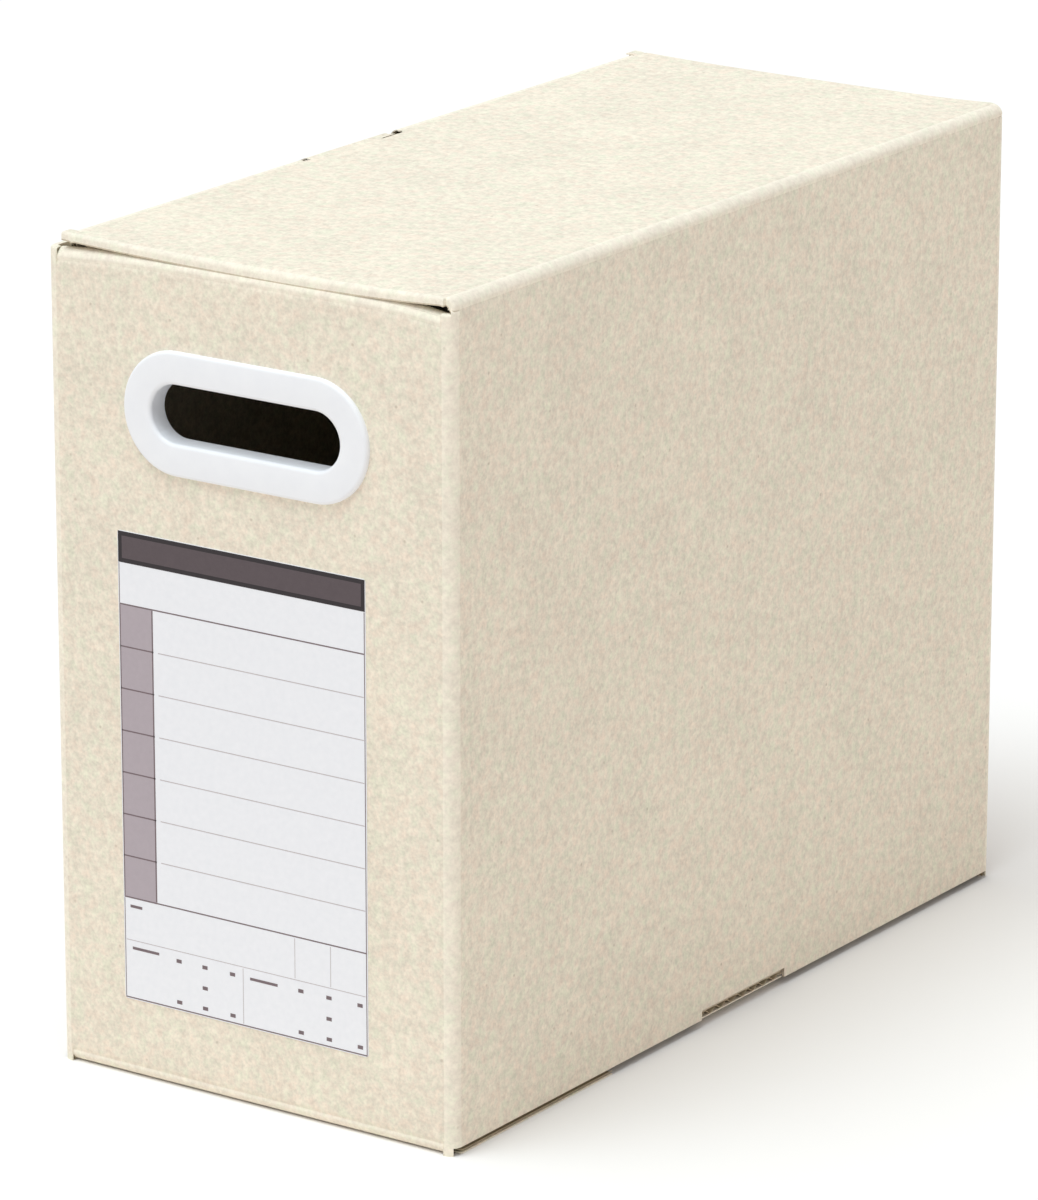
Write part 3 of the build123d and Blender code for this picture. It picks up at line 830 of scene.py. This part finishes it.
mesh = bmesh.new()
stations = panel_stations((LID_LEFT, 0, TOP), -Z, -X, TUCK_HEIGHT, start_fold=True)
lay_board(mesh, stations, Y, *TUCK, limits=tuck_ends)
tuck_flap = board_piece("tuck_flap_board", "tuck_flap", "tuck_flap", mesh)
crease_line = TOP - FOLD_RADIUS
window = crease_line - (LID_LEFT - LEFT - 1.0)
die_cut(tuck_flap, 0, oblong(TONGUE, (window, TOP + THROUGH)), *TUCK_CUT)
die_cut(tuck_flap, 0, oblong(gap, (crease_line, TOP + THROUGH)), *TUCK_CUT)
for y, radius in (front_hole, rear_hole):
    die_cut(tuck_flap, 0, round_hole(y, crease_line, radius), *TUCK_CUT)


# ---- Dust flaps --------------------------------------------------------------------------
# Fold in from the end walls' top creases and lie under the closed lid. They are tapered on
# the hinge side, and their tips have rounded corners.

DUST_REACH, DUST_INSET, DUST_TAPER, DUST_TIP = 50.0, 12.0, 18.0, 6.0
for name, wall, outward in (("front_dust_flap", FRONT, -1), ("rear_dust_flap", BACK, 1)):
    mesh = bmesh.new()
    stations = panel_stations((0, wall, END_WALL_TOP), -Y * outward, Z, DUST_REACH, start_fold=True)
    last = stations.pop()
    for angle in (0, 20, 40, 60, 75):
        reach = DUST_REACH - DUST_TIP * (1 - math.sin(math.radians(angle)))
        stations.append((Vector((0, wall - outward * reach, END_WALL_TOP)), Z, 0.0))
    stations.append(last)

    def sides(point, wall=wall, outward=outward):
        reach = abs(wall - point.y)
        if reach < CREASE_END - 0.01:
            return LEFT + CREASE_END, RIGHT - CREASE_END
        taper = DUST_TAPER * (reach - CREASE_END) / (DUST_REACH - CREASE_END)
        over = min(1.0, max(0.0, reach - DUST_REACH + DUST_TIP) / DUST_TIP)
        tip = DUST_TIP * (1 - math.sqrt(1 - over * over))
        return LEFT + DUST_INSET + tip, RIGHT - DUST_INSET - taper - tip

    lay_board(mesh, stations, X, LEFT + CREASE_END, RIGHT - CREASE_END, limits=sides)
    board_piece(name + "_board", name, name, mesh, crest)


# ---- Hand-hole ring ----------------------------------------------------------------------
# White polypropylene moulding in two parts: a bezel with a barrel through the board, and a
# ring snapped on behind. Moulded satin, slightly bluish beside the warm board.

HOLE_WIDTH, HOLE_HEIGHT = 71.0, 18.5
BEZEL_WIDTH, RETAINER_WIDTH = 92.0, 88.0
BARREL_WALL, RETAINER_THICK, SNAP_PLAY, LUG_DEPTH = 1.6, 1.8, 0.15, 1.2
BARREL_END = BOARD + RETAINER_THICK + SNAP_PLAY + LUG_DEPTH
LUG_LENGTH, LUG_REACH, LUG_ROOT, LUG_SPACING = 8.0, 0.7, 0.3, 40.0


def stadium_path(turns=28):
    """Points (x, z, outward x, outward z) round the stadium-shaped hand hole."""
    radius = HOLE_HEIGHT / 2
    straight = HOLE_WIDTH / 2 - radius
    path = []
    for side in (1, -1):
        for step in range(turns + 1):
            angle = math.radians(-90 + 180 * step / turns) + (0 if side > 0 else math.pi)
            nx, nz = math.cos(angle), math.sin(angle)
            path.append((side * straight + radius * nx, radius * nz, nx, nz))
    return path


def moulded_ring(name, node, material, profile):
    """Ring swept round the hand hole from a closed profile of (outward, depth) points."""
    mesh = bmesh.new()
    rows = []
    for x, z, nx, nz in stadium_path():
        rows.append([
            mesh.verts.new(Vector((x + nx * out, FRONT + deep, HAND_HEIGHT + z + nz * out)) * MM)
            for out, deep in profile
        ])
    for row, following in zip(rows, rows[1:] + rows[:1]):
        for j in range(len(profile)):
            k = (j + 1) % len(profile)
            mesh.faces.new((row[j], row[k], following[k], following[j])).smooth = True
    bmesh.ops.recalc_face_normals(mesh, faces=mesh.faces)
    data = bpy.data.meshes.new(name)
    mesh.to_mesh(data)
    mesh.free()
    data.set_sharp_from_angle(angle=math.radians(40))
    data.materials.append(material)
    piece = bpy.data.objects.new(name, data)
    bpy.context.scene.collection.objects.link(piece)
    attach(piece, "carcass")
    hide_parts(node)
    return piece


def rounding(out, deep, radius, start, turns=6):
    """Quarter round of a profile about a centre, from the start angle, in degrees."""
    points = []
    for step in range(turns + 1):
        angle = math.radians(start + 90 * step / turns)
        points.append((out + radius * math.cos(angle), deep + radius * math.sin(angle)))
    return points


polypropylene, tree = new_material("polypropylene_moulded_white")
place = add(tree, "ShaderNodeTexCoord").outputs["Object"]
flow = add(tree, "ShaderNodeTexNoise", [(place, "Vector")], Scale=1 / (6 * MM), Detail=3.0)
tint = add(tree, "ShaderNodeMix", [(flow.outputs["Fac"], "Factor")], data_type="RGBA")
tint.inputs[6].default_value = linear("#ECF0F7")
tint.inputs[7].default_value = linear("#F4F8FD")
grain = add(tree, "ShaderNodeTexNoise", [(place, "Vector")], Scale=1 / (0.5 * MM), Detail=2.0)
bump = add(
    tree, "ShaderNodeBump", [(grain.outputs["Fac"], "Height")], Strength=0.15, Distance=0.02 * MM
)
shader = add(
    tree, "ShaderNodeBsdfPrincipled",
    [(tint.outputs[2], "Base Color"), (bump.outputs["Normal"], "Normal")], Roughness=0.42,
)
shader.inputs["IOR"].default_value = 1.49
add(tree, "ShaderNodeOutputMaterial", [(shader.outputs[0], "Surface")])

LIP_ROUND, RIM_ROUND, LIP_DEPTH, RIM_DEPTH = 1.3, 1.2, -0.3, -0.4
band = (BEZEL_WIDTH - HOLE_WIDTH) / 2
bezel_profile = (
    [(0.0, BARREL_END), (0.0, LIP_DEPTH)]
    + rounding(LIP_ROUND, LIP_DEPTH, LIP_ROUND, 180)
    + [(band * 0.5, -BEZEL_PROUD)]
    + rounding(band - RIM_ROUND, RIM_DEPTH, RIM_ROUND, 270)
    + [(band, 0.0), (BARREL_WALL, 0.0), (BARREL_WALL, BARREL_END)]
)
moulded_ring("handle_bezel_moulding", "handle_bezel", polypropylene, bezel_profile)
RETAINER_ROUND = 0.8
inner = BARREL_WALL + SNAP_PLAY
outer = (RETAINER_WIDTH - HOLE_WIDTH) / 2
retainer_profile = [(inner, BOARD), (inner, BOARD + RETAINER_THICK)]
for angle in (0, 22, 45, 67, 90):
    turn = math.radians(angle)
    retainer_profile.append((
        outer - RETAINER_ROUND + RETAINER_ROUND * math.sin(turn),
        BOARD + RETAINER_THICK - RETAINER_ROUND + RETAINER_ROUND * math.cos(turn),
    ))
retainer_profile.append((outer, BOARD))
moulded_ring("handle_retainer_moulding", "handle_retainer", polypropylene, retainer_profile)

mesh = bmesh.new()
for side in (-1, 1):
    for place in (-1, 1):
        middle = place * LUG_SPACING / 2
        flank = HAND_HEIGHT + side * (HOLE_HEIGHT / 2 + BARREL_WALL)
        section = (
            (flank - side * LUG_ROOT, BARREL_END - LUG_DEPTH),
            (flank + side * LUG_REACH, BARREL_END - LUG_DEPTH),
            (flank - side * LUG_ROOT, BARREL_END),
        )
        ends = []
        for x in (middle - LUG_LENGTH / 2, middle + LUG_LENGTH / 2):
            ends.append([mesh.verts.new(Vector((x, FRONT + deep, z)) * MM) for z, deep in section])
        mesh.faces.new(ends[0])
        mesh.faces.new(list(reversed(ends[1])))
        for j in range(3):
            k = (j + 1) % 3
            mesh.faces.new((ends[0][k], ends[0][j], ends[1][j], ends[1][k]))
bmesh.ops.bevel(mesh, geom=mesh.edges[:], offset=0.12 * MM, segments=2, affect="EDGES")
bmesh.ops.recalc_face_normals(mesh, faces=mesh.faces)
data = bpy.data.meshes.new("handle_snap_lugs")
mesh.to_mesh(data)
mesh.free()
data.materials.append(polypropylene)
lugs = bpy.data.objects.new("handle_snap_lugs", data)
bpy.context.scene.collection.objects.link(lugs)
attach(lugs, "carcass")
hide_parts("handle_bezel")

HOLE_MARGIN = 2.0
hole = [
    (x + nx * HOLE_MARGIN, HAND_HEIGHT + z + nz * HOLE_MARGIN) for x, z, nx, nz in stadium_path()
]
die_cut(front_wall, 1, hole, FRONT - THROUGH, FRONT + 8)


# ---- Index label -------------------------------------------------------------------------
# White paper label glued under the hand hole, printed with a dark heading band, ruled rows
# with a tinted column and two fields for dates. The print here carries no words.

paper, tree = new_material("label_paper_white")
place = add(tree, "ShaderNodeTexCoord").outputs["Object"]
pulp = add(tree, "ShaderNodeTexNoise", [(place, "Vector")], Scale=1 / (2 * MM), Detail=4.0)
tint = add(tree, "ShaderNodeMix", [(pulp.outputs["Fac"], "Factor")], data_type="RGBA")
tint.inputs[6].default_value = linear("#E8ECF3")
tint.inputs[7].default_value = linear("#F2F5FB")
shader = add(tree, "ShaderNodeBsdfPrincipled", [(tint.outputs[2], "Base Color")], Roughness=0.6)
add(tree, "ShaderNodeOutputMaterial", [(shader.outputs[0], "Surface")])
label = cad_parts["index_label"]
label.data.materials.clear()
label.data.materials.append(paper)


def printing_ink(name, shade, blotch):
    """Offset ink on paper: flat and dull, a little uneven where the paper shows through."""
    material, tree = new_material(name)
    place = add(tree, "ShaderNodeTexCoord").outputs["Object"]
    patch = add(tree, "ShaderNodeTexNoise", [(place, "Vector")], Scale=1 / (1.5 * MM), Detail=3.0)
    tint = add(tree, "ShaderNodeMix", [(patch.outputs["Fac"], "Factor")], data_type="RGBA")
    tint.inputs[6].default_value = linear(shade)
    tint.inputs[7].default_value = linear(blotch)
    shader = add(
        tree, "ShaderNodeBsdfPrincipled", [(tint.outputs[2], "Base Color")], Roughness=0.65
    )
    add(tree, "ShaderNodeOutputMaterial", [(shader.outputs[0], "Surface")])
    return material


LABEL_WIDTH, LABEL_HEIGHT, LABEL_PAPER = 94.0, 153.0, 0.2
LABEL_LEFT, LABEL_TOP = -3.0 - LABEL_WIDTH / 2, TOP - 91.0
LABEL_FACE = FRONT - LABEL_PAPER
INK = 0.02


def printed(name, material, marks, layer=1):
    """Thin ink plates; each mark is left, top, width and height from the label's corner."""
    mesh = bmesh.new()
    for left, top, width, height in marks:
        x, z = LABEL_LEFT + left, LABEL_TOP - top
        corners = oblong((x, x + width), (z, z - height))
        front = LABEL_FACE - INK * layer
        face = [mesh.verts.new(Vector((cx, front, cz)) * MM) for cx, cz in corners]
        rear = [mesh.verts.new(Vector((cx, LABEL_FACE, cz)) * MM) for cx, cz in corners]
        mesh.faces.new(face)
        mesh.faces.new(list(reversed(rear)))
        for j in range(4):
            k = (j + 1) % 4
            mesh.faces.new((face[k], face[j], rear[j], rear[k]))
    bmesh.ops.recalc_face_normals(mesh, faces=mesh.faces)
    data = bpy.data.meshes.new(name)
    mesh.to_mesh(data)
    mesh.free()
    data.materials.append(material)
    piece = bpy.data.objects.new(name, data)
    bpy.context.scene.collection.objects.link(piece)
    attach(piece, "carcass")
    return piece


def frame_lines(left, top, width, height, thick):
    """Four marks round an oblong."""
    return [
        (left, top, width, thick),
        (left, top + height - thick, width, thick),
        (left, top + thick, thick, height - 2 * thick),
        (left + width - thick, top + thick, thick, height - 2 * thick),
    ]


black_ink = printing_ink("ink_heading_outline", "#1F1A1F", "#2A2429")
dark_ink = printing_ink("ink_heading", "#50464B", "#584E53")
grey_ink = printing_ink("ink_column", "#ABA2AA", "#B3AAB2")
line_ink = printing_ink("ink_rules", "#6E6065", "#7B6D72")
pale_ink = printing_ink("ink_pale_rules", "#B9B3B7", "#C4BEC2")
HEADING, ROWS_TOP, ROW, ROWS, COLUMN = 10.2, 23.6, 13.66, 7, 13.0
DATES_TOP = 133.2
rows_bottom = ROWS_TOP + ROWS * ROW
printed("label_heading", dark_ink, [(0.7, 1.0, LABEL_WIDTH - 1.4, HEADING - 1.6)])
outline = frame_lines(0.2, 0.2, LABEL_WIDTH - 0.4, HEADING - 0.2, 1.4)
printed("label_heading_outline", black_ink, outline, layer=2)
cells = [(0.7, ROWS_TOP + ROW * i + 0.2, COLUMN - 1.0, ROW - 0.4) for i in range(ROWS)]
printed("label_column", grey_ink, cells)
rules = [(0.3, ROWS_TOP + ROW * i - 0.22, COLUMN, 0.45) for i in range(ROWS + 1)]
rules += [
    (COLUMN - 0.3, ROWS_TOP + 0.3, 0.5, ROWS * ROW - 0.6),
    (0.3, ROWS_TOP + 0.3, 0.4, ROWS * ROW - 0.6),
    (COLUMN + 0.3, ROWS_TOP - 0.22, LABEL_WIDTH - COLUMN - 0.9, 0.42),
    (COLUMN + 0.3, rows_bottom - 0.22, LABEL_WIDTH - COLUMN - 0.9, 0.42),
    (0.3, HEADING + 0.2, 0.25, ROWS_TOP - HEADING - 0.5),
    (0.3, rows_bottom + 0.4, 0.25, LABEL_HEIGHT - rows_bottom - 1.1),
    (LABEL_WIDTH - 0.6, HEADING + 0.2, 0.3, LABEL_HEIGHT - HEADING - 0.9),
    (0.3, LABEL_HEIGHT - 0.7, LABEL_WIDTH - 0.6, 0.4),
]
printed("label_rules", line_ink, rules, layer=2)
faint = [
    (COLUMN + 2.0, ROWS_TOP + ROW * i - 0.15, LABEL_WIDTH - COLUMN - 2.8, 0.32)
    for i in range(1, ROWS)
]
faint += [(0.9, DATES_TOP, LABEL_WIDTH - 1.8, 0.25)]
faint += [(x, rows_bottom + 0.6, 0.25, DATES_TOP - rows_bottom - 0.9) for x in (66.2, 79.8)]
faint += [(46.2, DATES_TOP + 0.6, 0.25, LABEL_HEIGHT - DATES_TOP - 1.6)]
printed("label_faint_rules", pale_ink, faint)
spots = [(x, y) for x in (21.4, 31.5, 42.2, 68.5, 79.2, 91.0) for y in (136.6, 150.2)]
spots += [(31.5, 143.5), (79.2, 143.5)]
dashes = [(x - 1.0, y - 0.6, 2.0, 1.2) for x, y in spots]
dashes += [(2.6, 121.6, 4.6, 0.9), (3.2, 135.4, 10.4, 0.9), (49.0, 136.2, 10.6, 0.9)]
printed("label_field_dashes", line_ink, dashes, layer=2)
